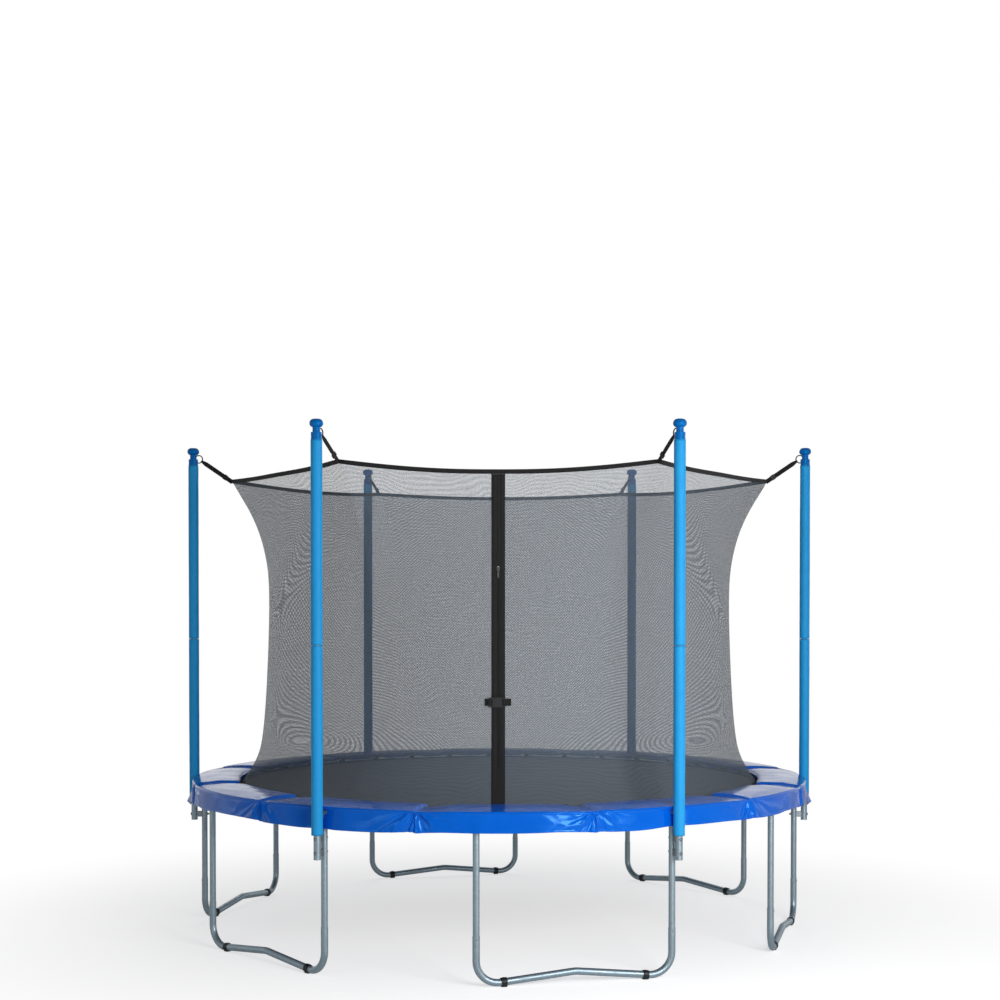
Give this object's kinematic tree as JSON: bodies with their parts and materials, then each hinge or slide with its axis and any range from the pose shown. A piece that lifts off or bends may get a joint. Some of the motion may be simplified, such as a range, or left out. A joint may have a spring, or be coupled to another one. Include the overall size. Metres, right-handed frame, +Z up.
{
  "type": "trampoline",
  "caption": "Round garden trampoline with W-shaped legs, sprung jumping mat, blue edge pad and a see-through net enclosure on foam-covered poles with a zipped entrance.",
  "frame": {"origin": "on the ground at the centre of the ring", "axes": "+Z up, -Y towards the zipped entrance, +X to the right as seen from the entrance"},
  "size_m": [3.8278, 3.722, 2.897],
  "materials": {
    "galvanised_steel": "satin",
    "sleeve_foam": "matte",
    "cap_plastic": "gloss",
    "black_plastic": "satin",
    "zinc_steel": "satin",
    "pad_vinyl": "gloss",
    "pad_foam": "matte",
    "mat_weave": "matte",
    "webbing": "matte",
    "net_mesh": "matte",
    "slider_metal": "gloss"
  },
  "bodies": {
    "frame": {"frame_rail_1": "galvanised_steel", "frame_rail_2": "galvanised_steel", "frame_rail_3": "galvanised_steel", "frame_rail_4": "galvanised_steel", "frame_rail_5": "galvanised_steel", "frame_rail_6": "galvanised_steel", "leg_base_1": "galvanised_steel", "leg_base_2": "galvanised_steel", "leg_base_3": "galvanised_steel", "leg_base_4": "galvanised_steel", "leg_base_5": "galvanised_steel", "leg_base_6": "galvanised_steel", "leg_uprights_1": "galvanised_steel", "leg_uprights_2": "galvanised_steel", "leg_uprights_3": "galvanised_steel", "leg_uprights_4": "galvanised_steel", "leg_uprights_5": "galvanised_steel", "leg_uprights_6": "galvanised_steel", "pole_1": "galvanised_steel", "pole_2": "galvanised_steel", "pole_3": "galvanised_steel", "pole_4": "galvanised_steel", "pole_5": "galvanised_steel", "pole_6": "galvanised_steel", "foam_sleeve_1": "sleeve_foam", "foam_sleeve_2": "sleeve_foam", "foam_sleeve_3": "sleeve_foam", "foam_sleeve_4": "sleeve_foam", "foam_sleeve_5": "sleeve_foam", "foam_sleeve_6": "sleeve_foam", "pole_cap_1": "cap_plastic", "pole_cap_2": "cap_plastic", "pole_cap_3": "cap_plastic", "pole_cap_4": "cap_plastic", "pole_cap_5": "cap_plastic", "pole_cap_6": "cap_plastic", "foot_caps": "black_plastic", "leg_screws": "zinc_steel", "pole_brackets": "zinc_steel", "bracket_bolts": "zinc_steel", "springs": "zinc_steel", "pad_cover": "pad_vinyl", "pad_foam": "pad_foam", "net": "net_mesh", "net_hem": "webbing", "cap_rings": "webbing", "net_straps": "webbing", "strap_adjusters": "black_plastic", "zip_tape": "webbing", "zip_chain": "black_plastic", "buckle_female": "black_plastic", "buckle_straps": "webbing"},
    "mat": {"jump_mat": "mat_weave", "mat_webbing": "webbing", "v_rings": "zinc_steel", "net_hooks": "black_plastic", "net_tabs": "webbing"},
    "slider": {"zip_slider": "slider_metal"},
    "pull": {"zip_pull": "slider_metal"},
    "buckle": {"buckle_male": "black_plastic"}
  },
  "joints": [
    {"name": "mat_bounce", "type": "slide", "parent": "frame", "child": "mat", "axis": [0, 0, 1], "range_m": [-0.2, 0], "stiffness_N_per_m": 4000, "springref_m": 0.03, "deforming": ["springs", "net"]},
    {"name": "zip_slide", "type": "slide", "parent": "frame", "child": "slider", "axis": [0, 0.0584, 0.9983], "range_m": [-0.98, 0], "deforming": ["zip_chain"]},
    {"name": "pull_swing", "type": "hinge", "parent": "slider", "child": "pull", "pos_m": [0, -1.38679, 2.12647], "axis": [-1, 0, 0], "range_deg": [0, 170]},
    {"name": "buckle_release", "type": "slide", "parent": "frame", "child": "buckle", "axis": [-1, 0, 0], "range_m": [0, 0.04], "deforming": ["buckle_straps"]}
  ]
}
